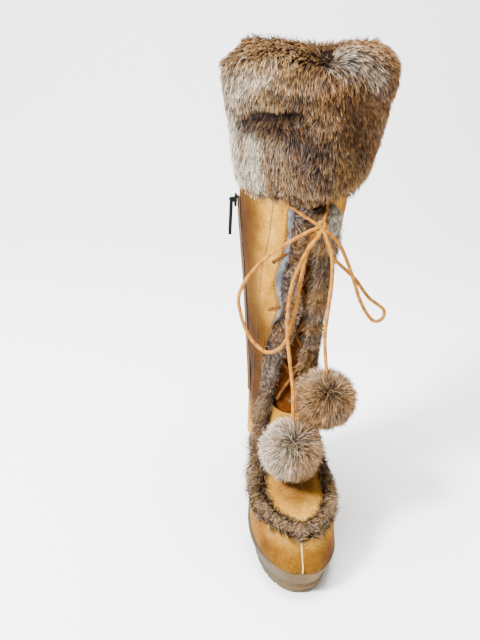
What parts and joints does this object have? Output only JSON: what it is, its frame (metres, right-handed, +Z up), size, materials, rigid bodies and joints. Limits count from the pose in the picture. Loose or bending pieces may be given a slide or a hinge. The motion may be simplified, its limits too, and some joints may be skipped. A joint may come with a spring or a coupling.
{
  "type": "fur boot",
  "caption": "Knee-high suede boot with a folded fur cuff, fur-edged lacing with pompoms, a side zip and a platform wedge sole.",
  "frame": {"origin": "on the floor under the middle of the sole, on its flat underside", "axes": "+Z up the leg, -Y towards the toe, -X towards the inner side of the leg"},
  "size_m": [0.1804, 0.28, 0.512],
  "materials": {
    "sole_rubber": "matte",
    "lining": "matte",
    "suede": "napped",
    "tongue_suede": "napped",
    "fur": "deep pile",
    "lace": "waxed",
    "zip_tape": "woven",
    "zip_metal": "satin"
  },
  "bodies": {
    "boot": {"outsole": "sole_rubber", "midsole": "sole_rubber", "insole": "lining", "upper": "suede", "tongue": "tongue_suede", "fur_trim_apron": "fur", "fur_trim_inner": "fur", "fur_trim_outer": "fur", "fur_cuff": "fur", "lace_crossings": "lace", "lace_knot": "lace", "lace_loop_left": "lace", "lace_loop_right": "lace", "lace_end_left": "lace", "lace_end_right": "lace", "pompom_left": "fur", "pompom_right": "fur", "zip_tape": "zip_tape", "zip_slider": "zip_metal"},
    "zip_pull": {"zip_pull_tab": "zip_metal"}
  },
  "joints": [
    {"name": "zip_pull_swing", "type": "hinge", "parent": "boot", "child": "zip_pull", "pos_m": [-0.06939, 0.062, 0.352], "axis": [0, 1, 0], "range_deg": [-3, 80]}
  ]
}
